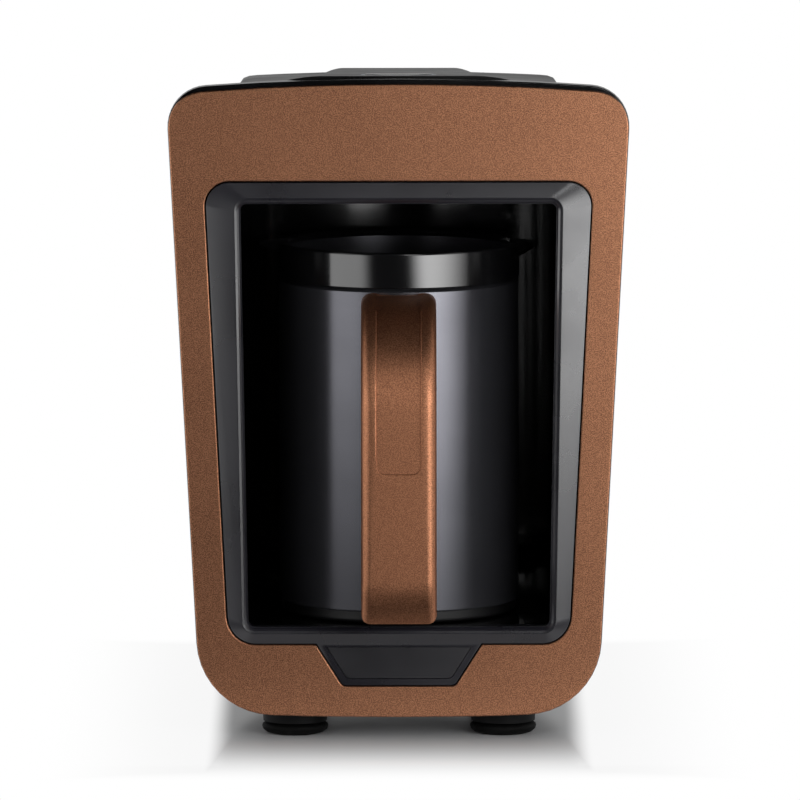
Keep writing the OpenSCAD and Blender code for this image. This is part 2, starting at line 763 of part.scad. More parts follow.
module button_clip() {
    color("silver")
    translate([0, y_button, clip_z - 0.8]) difference() {
        cylinder(r = stem_r + 2.4, h = 0.8);
        translate([0, 0, -1]) cylinder(r = stem_r - 0.8 + seat, h = 3);
        block([-2.4, 0, -1], [2.4, stem_r + 3, 3]);
    }
}

// A coil of round wire round the button's stem, between the guide's shelf and the cap
spring_r = stem_r + 3;
spring_low = button_z - tube_h + shelf_t + spring_wire_r + seat;
spring_high = button_z - button_cap_h - spring_wire_r - seat;
module button_spring() {
    sides = 6;
    rings = 12 * spring_turns;
    function wire(i, k) =
        let (a = 360 * spring_turns * i / rings, b = 360 * k / sides,
             z = spring_low + (spring_high - spring_low) * i / rings,
             r = spring_r + spring_wire_r * cos(b))
        [r * cos(a), y_button + r * sin(a), z + spring_wire_r * sin(b)];
    color("silver")
    polyhedron(
        points = [for (i = [0:rings], k = [0:sides - 1]) wire(i, k)],
        faces = concat([[for (k = [0:sides - 1]) k]],
            [[for (k = [0:sides - 1]) rings * sides + sides - 1 - k]],
            [for (i = [0:rings - 1], k = [0:sides - 1]) let (a = i * sides, b = a + sides, n = (k + 1) % sides)
                [a + k, b + k, b + n, a + n]]));
}

module control_board() {
    color("#2f6b3c")
    difference() {
        union() {
            block([-board_half.x, board_y - board_half.y, board_z - board_t],
                  [board_half.x, board_y + board_half.y, board_z]);
            block([-24, board_y + 8, board_z - board_t - 1.2], [-12, board_y + 20, board_z - board_t]);
            block([18, board_y + 12, board_z - board_t - 5], [31, board_y + 18, board_z - board_t]);
        }
        for (p = board_posts) translate([p.x, p.y, board_z - 8]) cylinder(r = screw_r + seat, h = 12);
    }
}

module start_switch() {
    color("#303030")
    translate([0, y_button, board_z]) {
        block([-6, -6, 0], [6, 6, 2.2]);
        cylinder(r = 3, h = 3.4);
    }
}

module buzzer() {
    color("#202020")
    translate([22, board_y - 12, board_z]) difference() {
        cylinder(r = 6, h = 7);
        translate([0, 0, 5]) cylinder(r = 1.2, h = 3);
    }
}

module board_screws() {
    color("silver")
    for (p = board_posts) translate([p.x, p.y, board_z - board_t - screw_head_h]) {
        cylinder(r = screw_head_r, h = screw_head_h);
        cylinder(r = screw_r, h = 8);
    }
}

// ---------------------------------------------------------------- sensor over the jug

sensor_r = 8;
module foam_sensor_lens() {
    color("#5a2020")
    translate([0, y_jug, ceiling_z]) {
        cylinder(r = sensor_r, h = liner_wall);
        translate([0, 0, liner_wall]) cylinder(r = sensor_r + 2, h = 1.4);
    }
}

module foam_sensor() {
    color("#2f6b3c")
    translate([0, y_jug, ceiling_z + liner_wall + 1.4]) {
        block([-12, -10, 0], [12, 10, board_t]);
        block([-5, -4, board_t], [5, 4, board_t + 3]);
    }
}

// ---------------------------------------------------------------- power electronics

power_board_y = y_jug + alcove_r + liner_wall + 16;
power_half_w = 42;
power_h = 84;
power_z = [alcove_floor_z + 34, alcove_floor_z + 34 + power_h];
unit_l = power_h / 84;                  // the parts on the board keep to its size
board_post_x = [-power_half_w + 5, power_half_w - 5];
board_post_z = [power_z[0] + 5, power_z[1] - 5];

module power_board() {
    color("#2f6b3c")
    difference() {
        block([-power_half_w, power_board_y, power_z[0]],
              [power_half_w, power_board_y + board_t, power_z[1]]);
        for (x = board_post_x, z = board_post_z)
            translate([x, 0, z]) rod_y(screw_r + seat, power_board_y - eps, power_board_y + board_t + eps);
    }
}

module on_board(x, z, size) {
    y = power_board_y + board_t;
    block([x - size.x / 2, y, z - size.z / 2], [x + size.x / 2, y + size.y, z + size.z / 2]);
}

module transformer() {
    color("#b8a33c") {
        on_board(-power_half_w / 3, power_z[0] + 0.45 * power_h, [30, 20, 26] * unit_l);
        on_board(-power_half_w / 3, power_z[0] + 0.45 * power_h, [18, 23, 34] * unit_l);
    }
}

module relay() {
    color("#e8e8e8") on_board(power_half_w / 2, power_z[0] + 0.36 * power_h, [16, 15, 20] * unit_l);
}

module capacitor() {
    color("#c0392b") on_board(power_half_w / 2 - 1, power_z[0] + 0.67 * power_h, [24, 9, 14] * unit_l);
}

// A flat lead from the power board up to the control board
module ribbon_cable() {
    half_w = 6;
    x = 24.5;
    y = power_board_y - 1 - seat;
    under = board_z - board_t - 5;
    color("#c8c8c8") {
        block([x - half_w, y, power_z[1] - 12], [x + half_w, y + 1, under - 3]);
        block([x - half_w, board_y + 14, under - 4], [x + half_w, y + 1, under - 3]);
        block([x - half_w, board_y + 14, under - 4], [x + half_w, board_y + 15, under]);
    }
}

// ---------------------------------------------------------------- contacts between alcove and jug

blade_x = [-8, 0, 8];
blade_half = [0.5, 3];
blade_z = (connector_z[0] + connector_z[1]) / 2;
socket_back = y_jug + jug_r + 6;        // rear face of the jug's socket
connector_front = socket_back + 3;

module base_connector() {
    wall = y_jug + alcove_r + liner_wall;
    color("#2a2a2a")
    difference() {
        union() {
            block([-connector_half_w, connector_front, connector_z[0]],
                  [connector_half_w, wall + 8, connector_z[1]]);
            block([-connector_half_w - 4, wall + seat, connector_z[0] - 3],
                  [connector_half_w + 4, wall + 3, connector_z[1] + 3]);
        }
        for (x = blade_x) blade_slot(x, connector_front - eps, wall + 9, seat);
    }
}

module blade_slot(x, y0, y1, clear) {
    block([x - blade_half.x - clear, y0, blade_z - blade_half.y - clear],
          [x + blade_half.x + clear, y1, blade_z + blade_half.y + clear]);
}

module contact_blades() {
    color("#c9a24a")
    for (x = blade_x) blade_slot(x, connector_front - 10, y_jug + alcove_r + liner_wall + 12, 0);
}

// ---------------------------------------------------------------- jug

jug_foot_z = alcove_floor_z + gap;
skirt_z = jug_foot_z + skirt_rise;             // lower edge of the steel wall
collar_z = jug_rim_z - collar_h;        // lower edge of the collar
vessel_t = 1.2;
neck_r = jug_r - 1.4;
plate_t = 3;
heater_z = vessel_z - vessel_t - plate_t;

module jug_body() {
    in_r = jug_r - jug_wall;
    neck_in = neck_r - jug_wall;
    color("#3c3c40")
    difference() {
        translate([0, y_jug, 0]) rotate_extrude($fn = 128)
            polygon([[jug_r - 0.3, skirt_z], [jug_r, skirt_z + 0.6], [jug_r, collar_z - 1.2],
                [neck_r, collar_z - 0.2], [neck_r, jug_rim_z - 2.6], [neck_in, jug_rim_z - 2.6],
                [neck_in, collar_z - 0.6], [in_r, collar_z - 1.6], [in_r, vessel_z + 3],
                [in_r - 0.9, vessel_z + 0.9], [in_r - 3, vessel_z], [0, vessel_z],
                [0, vessel_z - vessel_t], [in_r, vessel_z - vessel_t], [in_r, skirt_z]]);
        socket_window(gap);
    }
}

// The way through the skirt for the socket, at the jug's back
module socket_window(clear) {
    block([-socket_half_w - clear, y_jug + jug_r - 9, jug_foot_z - eps],
          [socket_half_w + clear, y_jug + jug_r + eps, socket_z[1] + clear]);
}

socket_half_w = 13.5;
socket_z = [jug_foot_z + 2.4, heater_z - 0.6];

module jug_collar() {
    out_r = jug_r + collar_proud;
    color("#161618")
    difference() {
        union() {
            translate([0, y_jug, 0]) rotate_extrude($fn = 128)
                polygon([[neck_r + seat, collar_z], [out_r - 0.5, collar_z], [out_r, collar_z + 0.5],
                    [out_r, jug_rim_z - 1], [out_r - 0.4, jug_rim_z - 0.3], [out_r - 1, jug_rim_z],
                    [neck_r - jug_wall, jug_rim_z - 0.4], [neck_r - jug_wall - 0.4, jug_rim_z - 1.2],
                    [neck_r - jug_wall, jug_rim_z - 2.6 + seat], [neck_r + seat, jug_rim_z - 2.6 + seat]]);
            for (s = [0, 180]) translate([0, y_jug, 0]) rotate(s) spout(0);
        }
        for (s = [0, 180]) translate([0, y_jug, 0]) rotate(s) spout(1.3);
        translate([0, y_jug, collar_z - 10])
            cylinder(r = neck_r + seat, h = jug_rim_z - 2.6 + seat - collar_z + 10);
    }
}

// A pouring lip: outside for wall = 0, the channel in it for a wall
module spout(wall) {
    lift = wall > 0 ? eps : 0;
    root = jug_r - 3;
    hull() {
        translate([root, -spout_half_w + wall, jug_rim_z - spout_depth * 0.6 + wall])
            cube([thin, 2 * (spout_half_w - wall), spout_depth * 0.6 - wall + lift]);
        translate([root, -1, jug_rim_z - spout_depth + wall]) cube([thin, 2, thin]);
        translate([spout_reach - 2.5 - wall * 0.4, 0, jug_rim_z - 1.6 + wall])
            cylinder(r = 2.5 - wall * 0.6, h = 1.6 - wall + lift, $fn = 24);
    }
}

module jug_base() {
    color("#151517")
    difference() {
        translate([0, y_jug, 0]) union() {
            rotate_extrude($fn = 128)
                polygon([[0, jug_foot_z + 1], [20, jug_foot_z + 1], [22, jug_foot_z],
                    [jug_r - 2.6, jug_foot_z],
                    [jug_r - 1.2, jug_foot_z + 0.7], [jug_r - jug_wall - seat, jug_foot_z + 1.6],
                    [jug_r - jug_wall - seat, skirt_z + 4], [jug_r - jug_wall - 1.8, skirt_z + 4],
                    [jug_r - jug_wall - 1.8, jug_foot_z + 2.4], [0, jug_foot_z + 2.4]]);
            for (a = jug_screw_angles) rotate(a) translate([jug_screw_r, 0, jug_foot_z + 2])
                cylinder(r = 3, h = heater_z - jug_foot_z - 2 - seat);
        }
        block([-socket_half_w - seat, y_jug + jug_r - 9, jug_foot_z + 3],
              [socket_half_w + seat, y_jug + jug_r, skirt_z + 5]);
        translate([0, y_jug, 0]) for (a = jug_screw_angles) rotate(a) translate([jug_screw_r, 0, 0]) {
            cylinder(r = screw_r + seat, h = heater_z + 1);
            cylinder(r = screw_head_r + seat, h = jug_foot_z + 2.2);
        }
    }
}

jug_screw_angles = [0, 120, 240];
jug_screw_r = 15;

module jug_base_screws() {
    color("silver")
    translate([0, y_jug, 0]) for (a = jug_screw_angles) rotate(a)
        translate([jug_screw_r, 0, jug_foot_z + 0.6]) {
            cylinder(r = screw_head_r, h = 1.6);
            cylinder(r = screw_r, h = heater_z - jug_foot_z + 0.5);
        }
}

module heater_plate() {
    color("#b9bcc0")
    translate([0, y_jug, heater_z]) difference() {
        cylinder(r = jug_r - 6, h = plate_t);
        for (a = jug_screw_angles) rotate(a) translate([jug_screw_r, 0, -eps])
            cylinder(r = screw_r + seat, h = 1.3 + eps);
    }
}

element_ring_r = 26;
module heating_element() {
    color("#8f8f93")
    translate([0, y_jug, heater_z - element_r]) {
        rotate(120) rotate_extrude(angle = 300)
            translate([element_ring_r, 0]) circle(r = element_r, $fn = 32);
        for (a = [60, 120]) rotate(a) translate([element_ring_r, 0, 0])
            rotate([a == 60 ? -90 : 90, 0, 0]) cylinder(r = 1.6, h = 5);
    }
}

module thermostat() {
    color("#d9d4c4")
    translate([0, y_jug, heater_z]) {
        translate([0, 0, -5]) cylinder(r = 8, h = 5);
        translate([0, 0, -7.4]) cylinder(r = 4.5, h = 3);
    }
}

module jug_socket() {
    color("#202022")
    difference() {
        block([-socket_half_w + seat, y_jug + jug_r - 8.6, socket_z[0] + 0.9],
              [socket_half_w - seat, socket_back, socket_z[1] - seat]);
        for (x = blade_x) blade_slot(x, connector_front - 10 - 2 * gap, socket_back + eps, gap);
    }
}

// ---------------------------------------------------------------- handle

handle_top = jug_rim_z - handle_drop;
handle_low = alcove_floor_z + handle_foot_rise;
y_grip = y_front - handle_reach;                // front face of the grip
y_wall = y_jug - jug_r;                         // front of the jug's wall

// The handle's front line, moved in by inset: top arm, upper bend, grip and tail
function handle_front(inset) =
    let (tail = handle_low + 15, curl = 4.4)
    [[y_wall + 4, handle_top - inset, 0], [y_grip + inset, handle_top - inset, handle_bend_r - inset],
     [y_grip + inset, tail - 7.5, handle_tail_r - inset],
     [y_grip + curl + inset, handle_low + min(inset, 0.6), 0]];

module handle_core() {
    inner = y_grip + grip_t;
    w = handle_w - 2;
    color("#151517")
    difference() {
        union() {
            across_x(w) polygon(rounded(concat(handle_front(handle_skin + seat),
                [[inner, handle_low + 0.6, 3], [inner, handle_top - arm_t, handle_bend_r - grip_t],
                 [y_wall + 4, handle_top - arm_t, 0]])));
            // lower arm
            across_x(w + 1.2) polygon([[inner - 1, handle_low + 2.4], [inner + 1, handle_low + 1.4],
                [y_wall + 4, handle_low + 1.4], [y_wall + 4, handle_low + arm_t],
                [inner - 1, handle_low + arm_t + 2]]);
        }
        translate([0, y_jug, 0]) cylinder(r = jug_r + seat, h = panel_top, $fn = 128);
        for (i = [0, 1]) translate([0, 0, handle_screw_z[i]]) {
            rod_y(2 + seat, y_grip, y_jug);
            rod_y(3.4 + seat, y_grip, handle_screw_y[i]);
        }
    }
}

handle_screw_z = [handle_top - arm_t / 2 - 2, handle_low + arm_t / 2 + 1];
handle_screw_y = [y_grip + bend_depth(handle_screw_z[0] + 3.4) + 4, y_grip + grip_t - 2];

// Depth of the core's front face behind the grip's front plane, at the height z on the upper bend
function bend_depth(z) =
    let (r = handle_bend_r - handle_skin - seat, rise = z - handle_top + handle_bend_r)
    handle_bend_r - sqrt(max(0, r * r - rise * rise));

// The cover's body: the front line swept across the width, with its long edges rounded
module cover_body() {
    half = handle_w / 2;
    turns = [0, 30, 50, 70, 90];
    stations = concat([for (a = turns) [-half + cover_edge_r * (1 - cos(a)), cover_edge_r * (1 - sin(a))]],
        [for (i = [len(turns) - 1:-1:0]) let (a = turns[i])
            [half - cover_edge_r * (1 - cos(a)), cover_edge_r * (1 - sin(a))]]);
    back = concat([[y_wall + 4, handle_top - cover_depth, 0]], [handle_front(cover_depth)[1]],
        [handle_front(cover_depth)[2]], [[y_grip + 4.4 + cover_depth, handle_low, 0]]);
    inner = rounded(back);
    n = len(inner);
    end = len(stations) - 1;
    points = [for (s = stations) each concat([for (p = rounded(handle_front(s.y))) [s.x, p.x, p.y]],
                                             [for (p = inner) [s.x, p.x, p.y]])];
    m = 2 * n * end;
    quads = concat(
        [for (i = [0:n - 2]) [i, i + 1, n + i + 1, n + i]],
        [for (i = [0:n - 2]) [m + i + 1, m + i, m + n + i, m + n + i + 1]],
        [for (k = [0:end - 1]) each let (a = 2 * n * k, b = a + 2 * n) concat(
            [for (i = [0:n - 2]) [b + i, b + i + 1, a + i + 1, a + i]],
            [for (i = [0:n - 2]) [a + n + i, a + n + i + 1, b + n + i + 1, b + n + i]],
            [[a, a + n, b + n, b], [a + n - 1, b + n - 1, b + 2 * n - 1, a + 2 * n - 1]])]);
    polyhedron(points = points,
        faces = [for (q = quads) each [[q[0], q[1], q[2]], [q[0], q[2], q[3]]]]);
}

module handle_cover() {
    color("#8b5f48")
    difference() {
        intersection() {
            cover_body();
            // seen from the front, the cover's corners are rounded
            along_y(y_grip - eps, y_jug) polygon(rounded([
                [-handle_w / 2, handle_low, 3.2], [handle_w / 2, handle_low, 3.2],
                [handle_w / 2, handle_top, 3.7], [-handle_w / 2, handle_top, 3.7]]));
        }
        across_x(handle_w - 2 + 2 * seat) polygon(rounded(concat(handle_front(handle_skin),
            [[y_grip + 30, handle_low - 1, 0], [y_grip + 30, handle_top - handle_skin - 16, 0],
             [y_wall + 5, handle_top - handle_skin - 16, 0]])));
        translate([0, y_jug, 0]) cylinder(r = jug_r + seat, h = panel_top, $fn = 128);
        // thumb inset, which follows the bend
        intersection() {
            along_y(y_grip - 2, y_wall) polygon(rounded([
                [-inset_w / 2, handle_top - inset_l, 3.2], [inset_w / 2, handle_top - inset_l, 3.2],
                [inset_w / 2, handle_top + 5, 0], [-inset_w / 2, handle_top + 5, 0]]));
            across_x(inset_w + 2) difference() {
                polygon([[y_grip - 4, handle_top - inset_l - 2], [y_wall + 3, handle_top - inset_l - 2],
                         [y_wall + 3, handle_top + 4], [y_grip - 4, handle_top + 4]]);
                polygon(rounded(concat(handle_front(inset_depth),
                    [[y_grip + 30, handle_low - 1, 0], [y_wall + 4, handle_low - 1, 0]])));
            }
        }
    }
}

module handle_screws() {
    color("silver")
    for (i = [0, 1]) translate([0, 0, handle_screw_z[i]]) {
        rod_y(3.4, handle_screw_y[i] - 3, handle_screw_y[i] - seat);
        rod_y(2, handle_screw_y[i] - 1, y_wall - seat);
    }
}

// ---------------------------------------------------------------- all parts

front_panel();
front_frame();
alcove_bezel();
badge_plate();
alcove_liner();
body_shell();
top_cover();
base_plate();
rear_cover();
cord_gland();
foot(foot_places[0]);  // foot_front_left
foot(foot_places[1]);  // foot_front_right
foot(foot_places[2]);  // foot_rear_left
foot(foot_places[3]);  // foot_rear_right
base_screws();
rear_screws();
light_ring();
start_button();
button_spring();
button_clip();
control_board();
start_switch();
buzzer();
board_screws();
foam_sensor_lens();
foam_sensor();
power_board();
transformer();
relay();
capacitor();
ribbon_cable();
base_connector();
contact_blades();
jug_body();
jug_collar();
jug_base();
heater_plate();
heating_element();
thermostat();
jug_socket();
jug_base_screws();
handle_core();
handle_cover();
handle_screws();
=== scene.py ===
"""Looks of an electric Turkish coffee maker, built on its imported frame.

Lengths are in metres, and angles that are written as numbers are in degrees.
"""

import logging
import math
from dataclasses import dataclass, field
from enum import Enum
from typing import Any, Protocol, Sequence

import bmesh
import bpy
from mathutils import Matrix, Vector

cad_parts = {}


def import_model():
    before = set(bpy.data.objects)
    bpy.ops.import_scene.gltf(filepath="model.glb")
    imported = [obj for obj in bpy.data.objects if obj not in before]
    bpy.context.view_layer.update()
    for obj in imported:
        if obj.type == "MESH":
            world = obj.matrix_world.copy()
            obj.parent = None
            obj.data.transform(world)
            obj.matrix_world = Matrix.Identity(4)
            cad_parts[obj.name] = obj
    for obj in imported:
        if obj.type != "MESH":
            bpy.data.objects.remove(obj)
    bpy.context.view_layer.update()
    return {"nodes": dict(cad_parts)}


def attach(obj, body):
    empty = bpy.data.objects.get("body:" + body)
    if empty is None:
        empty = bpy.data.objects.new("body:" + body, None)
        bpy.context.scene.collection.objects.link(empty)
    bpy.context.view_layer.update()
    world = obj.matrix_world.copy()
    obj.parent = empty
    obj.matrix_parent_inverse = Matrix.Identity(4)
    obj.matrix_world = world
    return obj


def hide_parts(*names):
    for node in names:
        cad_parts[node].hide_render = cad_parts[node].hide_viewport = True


log = logging.getLogger("coffee_maker")

Colour = tuple[float, float, float]
Pair = tuple[float, float]

WHITE: Colour = (1.0, 1.0, 1.0)
MERGE = 0.000002  # points of one solid that lie closer together than this are one point
PLANE_EDGE = 0.5  # where a plane of size 1 ends, in its own coordinates


def linear(red: int, green: int, blue: int) -> Colour:
    """The linear colour of three display values.

    Args:
        red: the red value, from 0 to 255.
        green: the green value.
        blue: the blue value.

    Returns:
        The colour, from 0 to 1.
    """
    def one(value: int) -> float:
        """One channel of it."""
        share = value / 255
        return share / 12.92 if share <= 0.04045 else ((share + 0.055) / 1.055) ** 2.4
    return one(red), one(green), one(blue)


def scaled(colour: Colour, share: float, lift: float = 0.0) -> Colour:
    """A colour made darker or lighter by a share and a lift."""
    red, green, blue = colour
    return share * red + lift, share * green + lift, share * blue + lift


def around(value: float, change: Pair) -> Pair:
    """The least and the most of a value that changes by those two amounts."""
    return value + change[0], value + change[1]


# ---------------------------------------------------------------- shader nodes


class Wire:
    """A shader socket that can be used in arithmetic."""

    def __init__(self, nodes: "Nodes", socket: bpy.types.NodeSocket) -> None:
        """Wraps an output socket of a node tree."""
        self.nodes = nodes
        self.socket = socket

    def __add__(self, other: Any) -> "Wire":
        """Sum."""
        return self.nodes.math("ADD", self, other)

    def __sub__(self, other: Any) -> "Wire":
        """Difference."""
        return self.nodes.math("SUBTRACT", self, other)

    def __rsub__(self, other: Any) -> "Wire":
        """Difference, the other way round."""
        return self.nodes.math("SUBTRACT", other, self)

    def __mul__(self, other: Any) -> "Wire":
        """Product."""
        return self.nodes.math("MULTIPLY", self, other)

    __radd__ = __add__
    __rmul__ = __mul__

    def __abs__(self) -> "Wire":
        """Size without its sign."""
        return self.nodes.math("ABSOLUTE", self, 0.0)

    def most(self, other: "Wire") -> "Wire":
        """The greater of two values."""
        return self.nodes.math("MAXIMUM", self, other)

    def ramp(self, low: float, high: float, start: float, end: float) -> "Wire":
        """This value carried smoothly from one range to another.

        Args:
            low: the value at which the result is start.
            high: the value at which the result is end.
            start: the result up to low.
            end: the result from high on.

        Returns:
            The result.
        """
        node = self.nodes.node(
            "ShaderNodeMapRange", {"interpolation_type": "SMOOTHSTEP"},
            {"Value": self, "From Min": low, "From Max": high, "To Min": start, "To Max": end})
        return Wire(self.nodes, node.outputs[0])

    def spread(self, start: float, end: float) -> "Wire":
        """The usual values of a noise, 0.3 to 0.7, carried smoothly to start..end."""
        return self.ramp(0.3, 0.7, start, end)


class Nodes:
    """The node tree of a material or of the world."""

    def __init__(self, tree: bpy.types.NodeTree) -> None:
        """Takes a tree and empties it."""
        self.tree = tree
        tree.nodes.clear()

    def put(self, socket: bpy.types.NodeSocket, value: Any) -> None:
        """Gives a socket its value.

        Args:
            socket: the input socket.
            value: a constant that is set, or a wire or an output that is linked.
        """
        if isinstance(value, Wire):
            value = value.socket
        if isinstance(value, bpy.types.NodeSocket):
            self.tree.links.new(value, socket)
        elif socket.type == "RGBA":
            socket.default_value = (*value, 1.0)
        else:
            socket.default_value = value

    def node(self, kind: str, settings: dict[str, Any] | None = None,
             inputs: dict[Any, Any] | None = None) -> bpy.types.Node:
        """Adds a node.

        Args:
            kind: the node's type.
            settings: its own settings, such as a Math node's operation, which are set first.
            inputs: values, wires or outputs for its sockets, by name or number.

        Returns:
            The new node.
        """
        made = self.tree.nodes.new(kind)
        for key, value in (settings or {}).items():
            setattr(made, key, value)
        for key, value in (inputs or {}).items():
            self.put(made.inputs[key], value)
        return made

    def math(self, operation: str, left: Any, right: Any) -> Wire:
        """The result of a Math node on two values or wires."""
        node = self.node("ShaderNodeMath", {"operation": operation}, {0: left, 1: right})
        return Wire(self, node.outputs[0])

    def seen(self) -> Wire:
        """Whether a ray is part of the picture, directly, by reflection or through glass.

        Returns:
            One for such a ray, and zero for light that falls on things.
        """
        path = self.node("ShaderNodeLightPath")
        rays = Wire(self, path.outputs["Is Camera Ray"])
        for other in ("Is Glossy Ray", "Is Transmission Ray"):
            rays = rays.most(Wire(self, path.outputs[other]))
        return rays


class Graph(Nodes):
    """The node tree of one material, with its Principled shader."""

    def __init__(self, name: str) -> None:
        """Makes a plain material.

        Args:
            name: the material's name.
        """
        self.material = bpy.data.materials.new(name)
        self.material.use_nodes = True
        super().__init__(self.material.node_tree)
        self.shader = self.node("ShaderNodeBsdfPrincipled")
        self.output = self.node("ShaderNodeOutputMaterial", None,
                                {"Surface": self.shader.outputs[0]})

    def place(self, scale: Sequence[float] = (1, 1, 1)) -> Wire:
        """The point on the piece in its own coordinates.

        Args:
            scale: how much the coordinates are stretched along each axis.

        Returns:
            The point.
        """
        source = self.node("ShaderNodeTexCoord")
        mapping = self.node("ShaderNodeMapping", {"vector_type": "POINT"},
                            {"Vector": source.outputs["Object"], "Scale": scale})
        return Wire(self, mapping.outputs[0])

    def axes(self) -> tuple[Wire, Wire]:
        """The first two of the piece's own coordinates.

        Returns:
            The two, each as a number.
        """
        source = self.node("ShaderNodeTexCoord")
        split = self.node("ShaderNodeSeparateXYZ", None, {0: source.outputs["Object"]})
        return Wire(self, split.outputs["X"]), Wire(self, split.outputs["Y"])

    def noise(self, size: float, detail: float = 2, rough: float = 0.5,
              where: Wire | None = None) -> Wire:
        """Smooth noise from 0 to 1.

        Args:
            size: how far its spots are across.
            detail: how many finer layers it has.
            rough: how strong the finer layers are.
            where: the coordinates that it is read at, or the piece's own.

        Returns:
            The noise.
        """
        node = self.node("ShaderNodeTexNoise", {"noise_dimensions": "3D"},
                         {"Vector": where or self.place(), "Scale": 1 / size,
                          "Detail": detail, "Roughness": rough})
        return Wire(self, node.outputs["Fac"])

    def mix(self, factor: Any, first: Any, second: Any) -> bpy.types.NodeSocket:
        """A colour between two colours.

        Args:
            factor: the share of the second colour.
            first: a colour.
            second: another colour.

        Returns:
            The output of the mixed colour.
        """
        node = self.node("ShaderNodeMix", {"data_type": "RGBA"}, {"Factor": factor})
        colours = [socket for socket in node.inputs if socket.type == "RGBA"]
        self.put(colours[0], first)
        self.put(colours[1], second)
        return next(socket for socket in node.outputs if socket.type == "RGBA")

    def bump(self, height: Any, strength: float, distance: float) -> bpy.types.NodeSocket:
        """A normal bent by a height field, as strong as strength and as high as distance."""
        inputs = {"Height": height, "Strength": strength, "Distance": distance}
        return self.node("ShaderNodeBump", None, inputs).outputs[0]

    def glow(self, strength: Any) -> bpy.types.NodeSocket:
        """White light of that strength."""
        inputs = {"Color": WHITE, "Strength": strength}
        return self.node("ShaderNodeEmission", None, inputs).outputs[0]

    def dress(self, **inputs: Any) -> bpy.types.Material:
        """Fills the shader's sockets.

        Args:
            **inputs: the values of the sockets, named in small letters with _ for spaces.

        Returns:
            The material.
        """
        for key, value in inputs.items():
            name = key.replace("_", " ").title().replace("Ior", "IOR")
            self.put(self.shader.inputs[name], value)
        return self.material


# ---------------------------------------------------------------- finishes


@dataclass(frozen=True)
class Finish:
    """A finish that is made into a material once, when it is first used.

    Its name is none of the frame's own material names, so that it never finds one of those.
    """

    name: str
    colour: Colour

    def build(self) -> bpy.types.Material:
        """Makes the material."""
        raise NotImplementedError

    def material(self) -> bpy.types.Material:
        """The finish's material, made if it isn't there yet."""
        return bpy.data.materials.get(self.name) or self.build()


@dataclass(frozen=True)
class MetallicPaint(Finish):
    """Copper-coloured paint with fine flakes that catch the light one by one.

    deep is the colour between the flakes. flake, cluster and cloud are the sizes of its spots,
    their ranges the noise over which they go from deep to bright, and their shares what each adds
    to the tone. change is how far the roughness goes down and up, and relief and height are the
    strength and the height of the flakes.
    """

    deep: Colour
    roughness: float
    flake: float = 0.00034
    flake_range: Pair = (0.42, 0.6)
    flake_share: float = 0.75
    cluster: float = 0.0009
    cluster_range: Pair = (0.4, 0.7)
    cluster_share: float = 0.15
    cloud: float = 0.03
    cloud_share: float = 0.15
    change: Pair = (-0.06, 0.08)
    relief: float = 0.45
    height: float = 0.00006

    def build(self) -> bpy.types.Material:
        """Makes the paint: bright flakes on a deeper base, in clusters and faint clouds.

        Returns:
            The material.
        """
        g = Graph(self.name)
        grain = g.noise(self.flake, detail=3, rough=0.65)
        cloud = g.noise(self.cloud)
        cluster = g.noise(self.cluster, rough=0.6)
        tone = (grain.ramp(*self.flake_range, 0, 1) * self.flake_share + cloud * self.cloud_share
                + cluster.ramp(*self.cluster_range, 0, 1) * self.cluster_share)
        return g.dress(base_color=g.mix(tone, self.deep, self.colour), metallic=1.0,
                       roughness=grain.spread(*around(self.roughness, self.change)),
                       normal=g.bump(grain, self.relief, self.height))


@dataclass(frozen=True)
class Moulded(Finish):
    """Moulded plastic, from high gloss to a fine matte grain.

    grain, depth and height are the size, the strength and the height of its grain, coat is its
    clear layer and shine its specular level. swirl is the size of the swirls from its mould,
    swirl_range the noise over which they fade, dark the share of the colour that is left in them,
    wear the share by which they change the roughness, and grain_wear what the grain adds to it.
    """

    roughness: float
    grain: float = 0.0003
    depth: float = 0.05
    height: float = 0.0001
    coat: float = 0.0
    coat_roughness: float = 0.08
    shine: float = 0.5
    swirl: float = 0.035
    swirl_range: Pair = (0.35, 0.65)
    dark: float = 0.75
    wear: float = 0.15
    grain_wear: float = 0.02

    def build(self) -> bpy.types.Material:
        """Makes the plastic: faint swirls, a fine grain and soft wear in the gloss.

        Returns:
            The material.
        """
        g = Graph(self.name)
        swirl = g.noise(self.swirl, detail=3, rough=0.55)
        grain = g.noise(self.grain, rough=0.6)
        tone = swirl.ramp(*self.swirl_range, 0, 1)
        colour = g.mix(tone, scaled(self.colour, self.dark), self.colour)
        rough = swirl.spread(self.roughness * (1 - self.wear), self.roughness * (1 + self.wear))
        return g.dress(base_color=colour, roughness=rough + grain * self.grain_wear,
                       normal=g.bump(grain, self.depth, self.height), coat_weight=self.coat,
                       coat_roughness=self.coat_roughness, specular_ior_level=self.shine)


@dataclass(frozen=True)
class CoatedSteel(Finish):
    """Steel with a dark coat, with the fine lines that run round it from polishing.

    lines is the size of its spots, which stretch draws out round the piece, cloud is the size of
    its clouds and dark the share of the colour that is left in them.
    """

    roughness: float
    metallic: float = 0.8
    lines: float = 0.0006
    stretch: Sequence[float] = (0.05, 0.05, 1)
    cloud: float = 0.02
    dark: float = 0.7
    change: Pair = (-0.006, 0.012)
    relief: float = 0.004
    height: float = 0.00005

    def build(self) -> bpy.types.Material:
        """Makes the steel: fine rings in gloss and height, and a faint cloud in colour.

        Returns:
            The material.
        """
        g = Graph(self.name)
        rings = g.noise(self.lines, where=g.place(self.stretch))
        colour = g.mix(g.noise(self.cloud), scaled(self.colour, self.dark), self.colour)
        return g.dress(base_color=colour, metallic=self.metallic,
                       roughness=rings.spread(*around(self.roughness, self.change)),
                       normal=g.bump(rings, self.relief, self.height))


